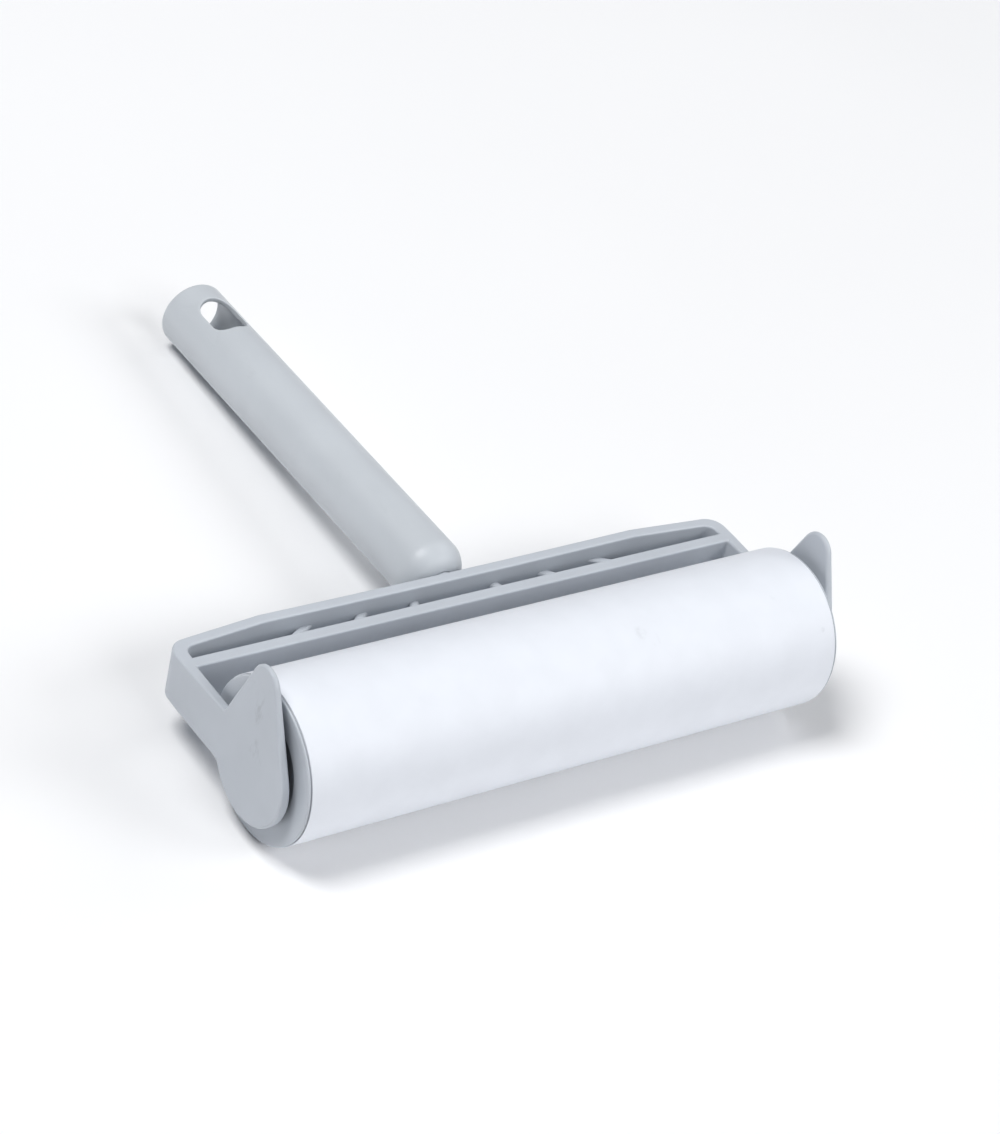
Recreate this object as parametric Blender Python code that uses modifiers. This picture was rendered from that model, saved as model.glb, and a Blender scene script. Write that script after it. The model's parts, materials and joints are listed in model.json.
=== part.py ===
"""Wide lint roller: a moulded yoke with a press-on tube handle, and a refill roll turning on two end caps.

Metres, +Z up. The object lies as it is put down: on the roll and on the far end of the handle. It is
modelled in the yoke's own frame (roll axis along X, handle along +Y) under one empty, rest_pose, which
tips it back until the handle's end touches the ground. The origin is under the middle of the object.
"""
from math import acos, asin, atan2, cos, hypot, pi, radians, sin, tan

import bmesh
import bpy
from mathutils import Matrix, Vector

# Refill roll, about its own axis
ROLL_RADIUS = 0.0275
ROLL_HALF_LENGTH = 0.1048
SHEET_THICKNESS = 0.0003
CORE_BORE_RADIUS = 0.019
CORE_WALL = 0.0013
TOUCH_GAP = 0.0003

# End caps
CAP_RADIUS = 0.0272
CAP_INNER_FACE = 0.1051
CAP_OUTER_FACE = 0.1061
CAP_EDGE_ROUND = 0.0004
CAP_BACK_CHAMFER = 0.0005
CAP_DISH_START = 0.0256
CAP_DISH_END = 0.0198
CAP_DISH_DEPTH = 0.0005
CAP_WELL_RADIUS = 0.0173
CAP_WELL_DEPTH = 0.0024
CAP_WELL_CHAMFER = 0.0005
CAP_PLATE_BACK = 0.1023
CAP_SPIGOT_WALL = 0.0016
CAP_SPIGOT_END = 0.092
CAP_HUB_RADIUS = 0.0072
CAP_HUB_END = 0.0955
CAP_RIB_END = 0.0975
CAP_RIB_THICKNESS = 0.0012
CAP_RIB_COUNT = 6
CAP_RIB_BITE = 0.0008

# Stub axles moulded on the cheeks
AXLE_RADIUS = 0.004
AXLE_CLEARANCE = 0.0003
AXLE_TIP = 0.0972
AXLE_CHAMFER = 0.0008
AXLE_SHOULDER_RADIUS = 0.0068
AXLE_SHOULDER_FACE = 0.1043

# Yoke, symmetric about X = 0
YOKE_TOP_Z = 0.0085
YOKE_BOTTOM_Z = -0.0102
ARM_INNER_X = 0.108
ARM_OUTER_X_FRONT = 0.1112
ARM_OUTER_X_REAR = 0.1121
ARM_TAPER_START_Y = 0.019
ARM_TAPER_END_Y = 0.046
ARM_ROOT_Y = 0.012
FRONT_WALL_Y = 0.038
FRONT_WALL_THICKNESS = 0.0046
REAR_WALL_Y = 0.0546
REAR_WALL_THICKNESS = 0.0041
REAR_BEND_X = 0.076
REAR_CORNER_Y = 0.0512
CORNER_RADIUS = 0.0065
CHANNEL_END_X = 0.1072
CHANNEL_CORNER_RADIUS = 0.0036
CHANNEL_FLOOR_Z = -0.0063
CHEEK_RADIUS = 0.0188
CHEEK_CENTRE_Y = -0.0012
CHEEK_CENTRE_Z = -0.0007
HORN_TIP_RADIUS = 0.0066
HORN_TIP_Y = 0.0005
HORN_TIP_Z = 0.0311
NOTCH_Y = 0.0166
NECK_FILLET = 0.003
INNER_DRAFT = 0.04
HORN_OUTER_DRAFT = 0.012
CHEEK_OUTER_DRAFT = 0.01
CORNER_OUTER_DRAFT = 0.05
JOIN_DEPTH = 0.001
WEB_POSITIONS = (0.018, 0.0412, 0.066)
WEB_FAN_Y = 0.085
WEB_THICKNESS = 0.0035
WEB_TOP_Z = 0.0027
YOKE_EDGE_ROUND = 0.0007

# Handle and the spigot it is pressed on
HANDLE_FRONT_Y = 0.0574
HANDLE_END_Y = 0.2258
HANDLE_RADIUS_FRONT = 0.01245
HANDLE_RADIUS_END = 0.01265
HANDLE_NOSE_ROUND = 0.009
HANDLE_LIP_ROUND = 0.0012
HANDLE_WALL = 0.0019
SOCKET_RADIUS = 0.0055
SOCKET_WALL = 0.0022
SOCKET_END_Y = 0.098
SPIGOT_RADIUS = 0.0052
SPIGOT_END_Y = 0.0965
SPIGOT_FIN = 0.0026
SPIGOT_COLLAR = 0.003
HOLE_FRONT_Y = 0.1975
HOLE_END_Y = 0.2162
HOLE_HALF_WIDTH = 0.007
HOLE_CORNER_RADIUS = 0.0042

SHARP_ANGLE = radians(35)
ROLL_SEGMENTS = 64
TUBE_SEGMENTS = 48
SMALL_SEGMENTS = 32

LIGHT_GREY = (0.47, 0.50, 0.53)
PALE_GREY = (0.58, 0.62, 0.66)
PAPER_WHITE = (0.86, 0.88, 0.92)
BOARD_BROWN = (0.50, 0.38, 0.26)


def rest_tilt():
    """Angle that brings the lip of the handle down level with the underside of the roll."""
    along = HANDLE_END_Y - HANDLE_LIP_ROUND
    below = HANDLE_RADIUS_END - HANDLE_LIP_ROUND
    drop = ROLL_RADIUS - HANDLE_LIP_ROUND
    return asin(drop / hypot(along, below)) - atan2(below, along)


def rest_depth(tilt):
    """How far the handle's lip lies behind the roll axis once the object is tipped back."""
    along = HANDLE_END_Y - HANDLE_LIP_ROUND
    above = HANDLE_RADIUS_END - HANDLE_LIP_ROUND
    return along * cos(tilt) + above * sin(tilt) + HANDLE_LIP_ROUND


def arc(centre, radius, start, end, steps):
    """Points of an arc in the plane, from angle start to angle end, both included."""
    angles = [start + (end - start) * i / steps for i in range(steps + 1)]
    return [(centre[0] + radius * cos(a), centre[1] + radius * sin(a)) for a in angles]


def rounded(before, corner, after, radius, steps=6):
    """Points that round the corner between two straight edges with the given radius."""
    corner = Vector(corner)
    to_before = (Vector(before) - corner).normalized()
    to_after = (Vector(after) - corner).normalized()
    half = acos(to_before.dot(to_after)) / 2
    centre = corner + (to_before + to_after).normalized() * radius / sin(half)
    first = corner + to_before * radius / tan(half) - centre
    last = corner + to_after * radius / tan(half) - centre
    turn = first.angle_signed(last)
    start = atan2(first.y, first.x)
    return arc(centre, radius, start, start - turn, steps)


def empty_scene():
    for obj in list(bpy.data.objects):
        bpy.data.objects.remove(obj)


def new_collection(name):
    collection = bpy.data.collections.new(name)
    bpy.context.scene.collection.children.link(collection)
    return collection


def plastic(name, colour, roughness):
    material = bpy.data.materials.new(name)
    material.use_nodes = True
    shader = material.node_tree.nodes["Principled BSDF"]
    shader.inputs["Base Color"].default_value = (*colour, 1)
    shader.inputs["Roughness"].default_value = roughness
    shader.inputs["Metallic"].default_value = 0
    return material


def add_mesh_object(name, bm, collection):
    mesh = bpy.data.meshes.new(name)
    bm.to_mesh(mesh)
    bm.free()
    obj = bpy.data.objects.new(name, mesh)
    collection.objects.link(obj)
    return obj


def smooth(obj):
    obj.data.shade_smooth()
    obj.data.set_sharp_from_angle(angle=SHARP_ANGLE)


def plate(name, outline, thickness, collection):
    """Flat plate of the given outline in its local XY plane, centred on its local Z, as a welded mesh."""
    curve = bpy.data.curves.new(name, "CURVE")
    curve.dimensions = "2D"
    curve.fill_mode = "BOTH"
    curve.extrude = thickness / 2
    spline = curve.splines.new("POLY")
    spline.points.add(len(outline) - 1)
    for point, (x, y) in zip(spline.points, outline):
        point.co = (x, y, 0, 1)
    spline.use_cyclic_u = True
    drawn = bpy.data.objects.new(name + "_curve", curve)
    collection.objects.link(drawn)
    evaluated = drawn.evaluated_get(bpy.context.evaluated_depsgraph_get())
    mesh = bpy.data.meshes.new_from_object(evaluated)
    bpy.data.objects.remove(drawn)
    bm = bmesh.new()
    bm.from_mesh(mesh)
    bpy.data.meshes.remove(mesh)
    bmesh.ops.remove_doubles(bm, verts=bm.verts, dist=1e-6)
    bmesh.ops.dissolve_limit(bm, angle_limit=radians(0.5), verts=bm.verts, edges=bm.edges)
    return add_mesh_object(name, bm, collection)


def cylinder(name, radius, start, end, axis, collection, chamfer=0, segments=SMALL_SEGMENTS):
    """Cylinder along axis "X" or "Y" from start to end; chamfer breaks the edge at its end."""
    bm = bmesh.new()
    bmesh.ops.create_cone(bm, cap_ends=True, segments=segments, radius1=radius, radius2=radius,
                          depth=abs(end - start))
    if chamfer:
        far_edge = [e for e in bm.edges if all(v.co.z > 0 for v in e.verts)]
        bmesh.ops.bevel(bm, geom=far_edge, offset=chamfer, segments=1, affect="EDGES")
    obj = add_mesh_object(name, bm, collection)
    way = 1 if end > start else -1
    obj.rotation_euler = (0, way * pi / 2, 0) if axis == "X" else (-way * pi / 2, 0, 0)
    middle = (start + end) / 2
    obj.location = (middle, 0, 0) if axis == "X" else (0, middle, 0)
    return obj


def block(name, size, location, collection, turn=0):
    bm = bmesh.new()
    bmesh.ops.create_cube(bm, size=1)
    bmesh.ops.scale(bm, vec=size, verts=bm.verts)
    obj = add_mesh_object(name, bm, collection)
    obj.location = location
    obj.rotation_euler.z = turn
    return obj


def hide_tool(obj):
    obj.hide_render = True
    obj.display_type = "WIRE"


def combine(obj, tool, operation):
    """Add to obj a boolean with tool, which is then only a construction shape."""
    hide_tool(tool)
    modifier = obj.modifiers.new(tool.name, "BOOLEAN")
    modifier.operation = operation
    modifier.object = tool
    modifier.solver = "EXACT"


def settle(obj):
    """Replace an object's mesh with the result of its modifiers, flat faces made whole again."""
    evaluated = obj.evaluated_get(bpy.context.evaluated_depsgraph_get())
    mesh = bpy.data.meshes.new_from_object(evaluated)
    obj.modifiers.clear()
    bm = bmesh.new()
    bm.from_mesh(mesh)
    bpy.data.meshes.remove(mesh)
    bmesh.ops.remove_doubles(bm, verts=bm.verts, dist=2e-6)
    bmesh.ops.dissolve_limit(bm, angle_limit=radians(0.3), verts=bm.verts, edges=bm.edges)
    bm.to_mesh(obj.data)
    bm.free()


def turned(name, profile, segments, collection):
    """Solid of revolution about local Z; profile is a closed loop of (radius, height) points."""
    bm = bmesh.new()
    ring = [bm.verts.new((radius, 0, height)) for radius, height in profile]
    for i, vertex in enumerate(ring):
        bm.edges.new((vertex, ring[(i + 1) % len(ring)]))
    obj = add_mesh_object(name, bm, collection)
    screw = obj.modifiers.new("turn", "SCREW")
    screw.steps = segments
    screw.render_steps = segments
    screw.use_merge_vertices = True
    screw.merge_threshold = 1e-6
    screw.use_smooth_shade = True
    return obj


def beam_outline():
    """Plan of the yoke's beam and arms, anticlockwise."""
    corner = (ARM_OUTER_X_REAR, REAR_CORNER_Y)
    bend = (REAR_BEND_X, REAR_WALL_Y)
    arm_rear = (ARM_OUTER_X_REAR, ARM_TAPER_END_Y - CORNER_RADIUS)
    right = [
        (ARM_INNER_X, FRONT_WALL_Y),
        (ARM_INNER_X, ARM_ROOT_Y),
        (ARM_OUTER_X_FRONT, ARM_ROOT_Y),
        (ARM_OUTER_X_FRONT, ARM_TAPER_START_Y),
        arm_rear,
        *rounded(arm_rear, corner, bend, CORNER_RADIUS, 8),
        bend,
    ]
    return right + [(-x, y) for x, y in reversed(right)]


def channel_outline():
    """Plan of the open channel between the beam's two walls, anticlockwise."""
    front = FRONT_WALL_Y + FRONT_WALL_THICKNESS
    rear = REAR_WALL_Y - REAR_WALL_THICKNESS
    slope = (REAR_WALL_Y - REAR_CORNER_Y) / (ARM_OUTER_X_REAR - REAR_BEND_X)
    near = (CHANNEL_END_X, front)
    far = (CHANNEL_END_X, rear - slope * (CHANNEL_END_X - REAR_BEND_X))
    bend = (REAR_BEND_X, rear)
    right = [near, *rounded(near, far, bend, CHANNEL_CORNER_RADIUS, 5), bend]
    return right + [(-x, y) for x, y in reversed(right)]


def cheek_outline():
    """Side view of one cheek and its horn, as (y, z) points, anticlockwise from the notch."""
    disc = Vector((CHEEK_CENTRE_Y, CHEEK_CENTRE_Z))
    tip = Vector((HORN_TIP_Y, HORN_TIP_Z))
    notch = Vector((NOTCH_Y, YOKE_TOP_Z))
    rise = tip - disc
    lean = atan2(-rise.x, rise.y)
    side = pi - asin((CHEEK_RADIUS - HORN_TIP_RADIUS) / rise.length) + lean
    to_notch = notch - tip
    back = atan2(to_notch.y, to_notch.x) + acos(HORN_TIP_RADIUS / to_notch.length)
    centre, angle = neck_fillet()
    return [
        (NOTCH_Y + 2 * JOIN_DEPTH, YOKE_TOP_Z - JOIN_DEPTH),
        (NOTCH_Y, YOKE_TOP_Z),
        *arc(tip, HORN_TIP_RADIUS, back, side, 12),
        *arc(disc, CHEEK_RADIUS, side, 2 * pi + angle, 22),
        *arc(centre, NECK_FILLET, angle + pi, pi / 2, 4)[1:],
        (centre[0] + JOIN_DEPTH, YOKE_BOTTOM_Z + JOIN_DEPTH),
    ]


def neck_fillet():
    """Centre of the fillet under the neck and its bearing from the middle of the cheek's disc."""
    reach = CHEEK_RADIUS + NECK_FILLET
    drop = YOKE_BOTTOM_Z - NECK_FILLET - CHEEK_CENTRE_Z
    angle = asin(drop / reach)
    return (CHEEK_CENTRE_Y + reach * cos(angle), CHEEK_CENTRE_Z + drop), angle


def cheek(side, tools):
    """Cheek plate with its horn, stub axle and shoulder; side is 1 for right and -1 for left."""
    label = "right" if side > 0 else "left"
    thickness = ARM_OUTER_X_FRONT - ARM_INNER_X
    panel = plate(label + "_cheek", cheek_outline(), thickness, tools)
    panel.matrix_world = Matrix(((0, 0, 1, side * (ARM_INNER_X + thickness / 2)), (1, 0, 0, 0),
                                 (0, 1, 0, 0), (0, 0, 0, 1)))
    root = ARM_OUTER_X_FRONT - JOIN_DEPTH
    shoulder = cylinder(label + "_shoulder", AXLE_SHOULDER_RADIUS, side * root, side * AXLE_SHOULDER_FACE,
                        "X", tools)
    axle = cylinder(label + "_axle", AXLE_RADIUS, side * root, side * AXLE_TIP, "X", tools, AXLE_CHAMFER)
    return [panel, shoulder, axle]


def webs(tools):
    """Six low webs across the channel, fanned out from a point behind the handle's neck."""
    front = FRONT_WALL_Y + FRONT_WALL_THICKNESS / 2
    rear = REAR_WALL_Y - REAR_WALL_THICKNESS / 2
    middle = (front + rear) / 2
    height = WEB_TOP_Z - CHANNEL_FLOOR_Z + JOIN_DEPTH
    made = []
    for side in (-1, 1):
        for number, position in enumerate(WEB_POSITIONS):
            turn = atan2(position, WEB_FAN_Y - middle)
            size = (WEB_THICKNESS, (rear - front) / cos(turn), height)
            place = (side * position, middle, WEB_TOP_Z - height / 2)
            label = "left" if side < 0 else "right"
            made.append(block(f"{label}_web_{number + 1}", size, place, tools, side * turn))
    return made


def spigot(tools):
    """Cross-shaped spigot behind the beam, round at its neck and at its tip."""
    wall = REAR_WALL_Y - REAR_WALL_THICKNESS / 2
    neck_end = HANDLE_FRONT_Y + SPIGOT_COLLAR
    length = SPIGOT_END_Y - neck_end
    middle = (SPIGOT_END_Y + neck_end) / 2 - JOIN_DEPTH / 2
    reach = 2 * SPIGOT_RADIUS - JOIN_DEPTH
    return [
        cylinder("neck", SPIGOT_RADIUS, wall, neck_end, "Y", tools),
        cylinder("tip_collar", SPIGOT_RADIUS, SPIGOT_END_Y - SPIGOT_COLLAR, SPIGOT_END_Y, "Y", tools,
                 AXLE_CHAMFER),
        block("upright_fin", (SPIGOT_FIN, length, reach), (0, middle, 0), tools),
        block("level_fin", (reach, length, SPIGOT_FIN), (0, middle, 0), tools),
    ]


def outer_draft(y, rise):
    """How far the outer side face lies inside its place at the beam's top edge, rise above that edge."""
    if rise > 0:
        return HORN_OUTER_DRAFT * rise
    share = min(max((y - ARM_TAPER_START_Y) / (REAR_CORNER_Y - ARM_TAPER_START_Y), 0), 1)
    return -rise * (CHEEK_OUTER_DRAFT + share * (CORNER_OUTER_DRAFT - CHEEK_OUTER_DRAFT))


def draft_side_faces(obj):
    """Slope the arms and cheeks: the inner faces open upwards, the outer faces are widest at the beam's top."""
    near = 1e-5
    for vertex in obj.data.vertices:
        x, y, z = vertex.co
        side = 1 if x > 0 else -1
        rise = z - YOKE_TOP_Z
        if abs(abs(x) - ARM_INNER_X) < near and y < FRONT_WALL_Y + near:
            vertex.co.x += side * INNER_DRAFT * rise
        elif abs(x) > ARM_INNER_X + near:
            vertex.co.x -= side * outer_draft(y, rise)


def round_edges(obj, width):
    bevel = obj.modifiers.new("edge_round", "BEVEL")
    bevel.width = width
    bevel.segments = 2
    bevel.limit_method = "ANGLE"
    bevel.angle_limit = SHARP_ANGLE


def build_yoke(parts, tools):
    yoke = plate("yoke", beam_outline(), YOKE_TOP_Z - YOKE_BOTTOM_Z, parts)
    yoke.data.transform(Matrix.Translation((0, 0, (YOKE_TOP_Z + YOKE_BOTTOM_Z) / 2)))
    depth = YOKE_TOP_Z - CHANNEL_FLOOR_Z + JOIN_DEPTH
    channel = plate("channel", channel_outline(), depth, tools)
    channel.location.z = CHANNEL_FLOOR_Z + depth / 2
    combine(yoke, channel, "DIFFERENCE")
    additions = webs(tools) + cheek(-1, tools) + cheek(1, tools) + spigot(tools)
    for piece in additions:
        combine(yoke, piece, "UNION")
    settle(yoke)
    draft_side_faces(yoke)
    round_edges(yoke, YOKE_EDGE_ROUND)
    smooth(yoke)
    return yoke


def handle_profile():
    """Half section of the handle, as (radius, distance along the handle) points from the lip forward."""
    bore = HANDLE_RADIUS_END - HANDLE_WALL
    lip = (HANDLE_RADIUS_END - HANDLE_LIP_ROUND, HANDLE_END_Y - HANDLE_LIP_ROUND)
    nose = (HANDLE_RADIUS_FRONT - HANDLE_NOSE_ROUND, HANDLE_FRONT_Y + HANDLE_NOSE_ROUND)
    inner_round = HANDLE_NOSE_ROUND - HANDLE_WALL
    socket_outside = SOCKET_RADIUS + SOCKET_WALL
    mouth = -acos((SOCKET_RADIUS - nose[0]) / HANDLE_NOSE_ROUND)
    root = -acos((socket_outside - nose[0]) / inner_round)
    inner_lip = 0.0004
    return [
        (bore + inner_lip, HANDLE_END_Y),
        *arc(lip, HANDLE_LIP_ROUND, pi / 2, 0, 4),
        *arc(nose, HANDLE_NOSE_ROUND, 0, mouth, 7),
        (SOCKET_RADIUS, SOCKET_END_Y),
        (socket_outside, SOCKET_END_Y),
        *arc(nose, inner_round, root, 0, 5),
        (bore, HANDLE_END_Y - inner_lip),
    ]


def hole_outline():
    """Hanging hole seen from above: square corners softened at the front, a half circle at the far end."""
    x = HOLE_HALF_WIDTH
    turn_y = HOLE_END_Y - HOLE_HALF_WIDTH
    front_left = (-x, HOLE_FRONT_Y)
    front_right = (x, HOLE_FRONT_Y)
    return [
        *rounded((-x, turn_y), front_left, front_right, HOLE_CORNER_RADIUS, 5),
        *rounded(front_left, front_right, (x, turn_y), HOLE_CORNER_RADIUS, 5),
        *arc((0, turn_y), x, 0, pi, 12),
    ]


def build_handle(parts, tools):
    handle = turned("handle", handle_profile(), TUBE_SEGMENTS, parts)
    handle.rotation_euler.x = -pi / 2
    cutter = plate("hanging_hole", hole_outline(), 4 * HANDLE_RADIUS_END, tools)
    combine(handle, cutter, "DIFFERENCE")
    return handle


def tube_profile(inner, outer, half_length):
    return [(inner, half_length), (outer, half_length), (outer, -half_length), (inner, -half_length)]


def dish_slope(steps=6):
    """Points of the gentle slope from the flat middle of a cap's outer face up to its rim."""
    shares = [i / steps for i in range(steps + 1)]
    return [(CAP_DISH_END + (CAP_DISH_START - CAP_DISH_END) * share,
             CAP_OUTER_FACE - CAP_DISH_DEPTH * (1 + cos(pi * share)) / 2) for share in shares]


def cap_profile():
    """Half section of an end cap: dished flange with a well, spigot for the core, hub for the axle."""
    spigot_radius = CORE_BORE_RADIUS - TOUCH_GAP
    hole = AXLE_RADIUS + AXLE_CLEARANCE
    edge = (CAP_RADIUS - CAP_EDGE_ROUND, CAP_OUTER_FACE - CAP_EDGE_ROUND)
    bore = spigot_radius - CAP_SPIGOT_WALL
    return [
        (hole, CAP_OUTER_FACE - CAP_WELL_DEPTH),
        (CAP_WELL_RADIUS, CAP_OUTER_FACE - CAP_WELL_DEPTH),
        (CAP_WELL_RADIUS + CAP_WELL_CHAMFER, CAP_OUTER_FACE - CAP_DISH_DEPTH),
        *dish_slope(),
        *arc(edge, CAP_EDGE_ROUND, pi / 2, 0, 3),
        (CAP_RADIUS, CAP_INNER_FACE + CAP_BACK_CHAMFER),
        (CAP_RADIUS - CAP_BACK_CHAMFER, CAP_INNER_FACE),
        (spigot_radius, CAP_INNER_FACE),
        (spigot_radius, CAP_SPIGOT_END + CAP_EDGE_ROUND),
        (spigot_radius - CAP_EDGE_ROUND, CAP_SPIGOT_END),
        (bore, CAP_SPIGOT_END),
        (bore, CAP_PLATE_BACK),
        (CAP_HUB_RADIUS, CAP_PLATE_BACK),
        (CAP_HUB_RADIUS, CAP_HUB_END),
        (hole, CAP_HUB_END),
    ]


def build_cap(name, side, parts, tools):
    """End cap with radial ribs between its hub and its spigot; side is 1 for right and -1 for left."""
    cap = turned(name, cap_profile(), TUBE_SEGMENTS, parts)
    settle(cap)
    inner = CAP_HUB_RADIUS - CAP_RIB_BITE
    outer = CORE_BORE_RADIUS - TOUCH_GAP - CAP_RIB_BITE
    depth = CAP_PLATE_BACK + CAP_RIB_BITE / 2 - CAP_RIB_END
    for number in range(CAP_RIB_COUNT):
        turn = 2 * pi * (number + 0.5) / CAP_RIB_COUNT
        reach = (inner + outer) / 2
        place = (reach * cos(turn), reach * sin(turn), CAP_RIB_END + depth / 2)
        rib = block(f"{name}_rib_{number + 1}", (outer - inner, CAP_RIB_THICKNESS, depth), place, tools, turn)
        combine(cap, rib, "UNION")
    settle(cap)
    smooth(cap)
    cap.rotation_euler.y = side * pi / 2
    return cap


def build_roll(parts):
    """Paperboard core, the wound adhesive sheets, and the outermost sheet as its own thin shell."""
    core_radius = CORE_BORE_RADIUS + CORE_WALL
    sheet_bore = ROLL_RADIUS - SHEET_THICKNESS
    pieces = {
        "core_tube": turned("core_tube", tube_profile(CORE_BORE_RADIUS, core_radius, ROLL_HALF_LENGTH),
                            TUBE_SEGMENTS, parts),
        "sheet_roll": turned("sheet_roll", tube_profile(core_radius + TOUCH_GAP, sheet_bore - TOUCH_GAP,
                                                        ROLL_HALF_LENGTH), ROLL_SEGMENTS, parts),
        "outer_sheet": turned("outer_sheet", tube_profile(sheet_bore, ROLL_RADIUS, ROLL_HALF_LENGTH),
                              ROLL_SEGMENTS, parts),
    }
    for piece in pieces.values():
        piece.rotation_euler.y = pi / 2
    return pieces


def main():
    empty_scene()
    parts = new_collection("lint_roller")
    tools = new_collection("cutters")

    tilt = rest_tilt()
    pose = bpy.data.objects.new("rest_pose", None)
    pose.location = (0, (ROLL_RADIUS - rest_depth(tilt)) / 2, ROLL_RADIUS)
    pose.rotation_euler.x = -tilt
    parts.objects.link(pose)

    grey = plastic("frame_plastic", LIGHT_GREY, 0.45)
    pale = plastic("handle_plastic", PALE_GREY, 0.45)
    paper = plastic("white_sheet", PAPER_WHITE, 0.7)
    board = plastic("core_board", BOARD_BROWN, 0.85)

    roll = build_roll(parts)
    finished = {
        build_yoke(parts, tools): grey,
        build_handle(parts, tools): pale,
        build_cap("left_end_cap", -1, parts, tools): grey,
        build_cap("right_end_cap", 1, parts, tools): grey,
        roll["core_tube"]: board,
        roll["sheet_roll"]: paper,
        roll["outer_sheet"]: paper,
    }
    for obj, material in finished.items():
        obj.data.materials.append(material)
        obj.parent = pose
    for tool in tools.objects:
        tool.parent = pose


main()
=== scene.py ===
"""Looks for the wide lint roller: rounded mouldings, refill roll, plastics and paper, studio and camera.

Every piece is modelled in the yoke's own frame, as the CAD is: the roll's axis along X through the
origin, the handle along +Y, the horns up. One matrix, REST, lays it down as the CAD lies.
"""
import json
from math import acos, asin, atan2, cos, hypot, pi, radians, sin, sqrt, tan

import bmesh
import bpy
from mathutils import Matrix, Quaternion, Vector


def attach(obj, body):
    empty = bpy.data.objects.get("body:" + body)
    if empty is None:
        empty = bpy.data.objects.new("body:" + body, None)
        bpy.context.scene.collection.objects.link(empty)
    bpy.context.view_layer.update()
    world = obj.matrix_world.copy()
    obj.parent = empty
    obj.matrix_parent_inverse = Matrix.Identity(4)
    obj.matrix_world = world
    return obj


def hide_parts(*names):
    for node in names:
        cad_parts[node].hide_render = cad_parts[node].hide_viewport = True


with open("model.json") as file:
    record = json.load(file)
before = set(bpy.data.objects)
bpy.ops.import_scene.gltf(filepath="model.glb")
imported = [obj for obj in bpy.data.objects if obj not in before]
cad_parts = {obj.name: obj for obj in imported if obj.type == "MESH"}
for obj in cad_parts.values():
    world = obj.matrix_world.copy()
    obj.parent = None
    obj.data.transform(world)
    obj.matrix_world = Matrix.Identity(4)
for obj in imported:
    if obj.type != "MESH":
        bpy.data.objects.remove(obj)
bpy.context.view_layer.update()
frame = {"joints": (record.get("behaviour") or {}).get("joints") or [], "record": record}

# Refill roll
ROLL_RADIUS = 0.0275
ROLL_HALF_LENGTH = 0.10495
SHEET_INNER_RADIUS = 0.0272
SHEET_STEP = 0.00014
SHEET_EDGE = 0.00006
LAP_ANGLE = radians(292)
LAP_WIDTH = radians(0.3)
CORE_BORE_RADIUS = 0.019
CORE_RADIUS = 0.0203
TOUCH_GAP = 0.0003

# End caps
CAP_RADIUS = 0.0272
CAP_INNER_FACE = 0.10502
CAP_OUTER_FACE = 0.1061
CAP_EDGE_ROUND = 0.0006
CAP_BACK_CHAMFER = 0.0005
CAP_DISH_START = 0.0258
CAP_DISH_END = 0.0192
CAP_DISH_DEPTH = 0.0006
CAP_WELL_RADIUS = 0.0173
CAP_WELL_DEPTH = 0.0024
CAP_WELL_CHAMFER = 0.0005
CAP_PLATE_BACK = 0.1023
CAP_SPIGOT_RADIUS = 0.0187
CAP_SPIGOT_WALL = 0.0016
CAP_SPIGOT_END = 0.092
CAP_HUB_RADIUS = 0.0072
CAP_HUB_END = 0.0955
CAP_HOLE_RADIUS = 0.0043
CAP_RIB_END = 0.0975
CAP_RIB_THICKNESS = 0.0012
CAP_RIB_COUNT = 6
CAP_RIB_BITE = 0.0008

# Stub axles moulded on the cheeks
AXLE_RADIUS = 0.004
AXLE_TIP = 0.0972
AXLE_CHAMFER = 0.0008
AXLE_SHOULDER_RADIUS = 0.0068
AXLE_SHOULDER_FACE = 0.1043

# Yoke
YOKE_TOP_Z = 0.0085
YOKE_BOTTOM_Z = -0.0102
ARM_INNER_X = 0.108
ARM_OUTER_X_FRONT = 0.1112
ARM_OUTER_X_REAR = 0.1121
ARM_TAPER_START_Y = 0.019
ARM_TAPER_END_Y = 0.046
ARM_ROOT_Y = 0.012
FRONT_WALL_Y = 0.038
FRONT_WALL_THICKNESS = 0.0046
REAR_WALL_Y = 0.0546
REAR_WALL_THICKNESS = 0.0041
REAR_WALL_BOW = 0.0005
REAR_BEND_X = 0.076
REAR_CORNER_Y = 0.0512
CORNER_RADIUS = 0.0065
CORNER_ARC_REACH = 0.0015
BOW_STATIONS = (0.057, 0.038, 0.019, 0, -0.019, -0.038, -0.057)
CHANNEL_END_X = 0.1072
CHANNEL_CORNER_RADIUS = 0.0036
CHANNEL_FLOOR_Z = -0.0063
CHEEK_RADIUS = 0.0188
CHEEK_CENTRE_Y = -0.0012
CHEEK_CENTRE_Z = -0.0007
HORN_TIP_RADIUS = 0.0066
HORN_TIP_Y = 0.0005
HORN_TIP_Z = 0.0311
NOTCH_Y = 0.0166
NECK_FILLET = 0.003
INNER_DRAFT = 0.04
CORNER_OUTER_DRAFT = 0.05
JOIN_DEPTH = 0.001
WEB_POSITIONS = (0.018, 0.0412, 0.066)
WEB_FAN_Y = 0.085
WEB_THICKNESS = 0.0035
WEB_TOP_Z = 0.0027
WEB_TOP_ROUND = 0.0013

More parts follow.
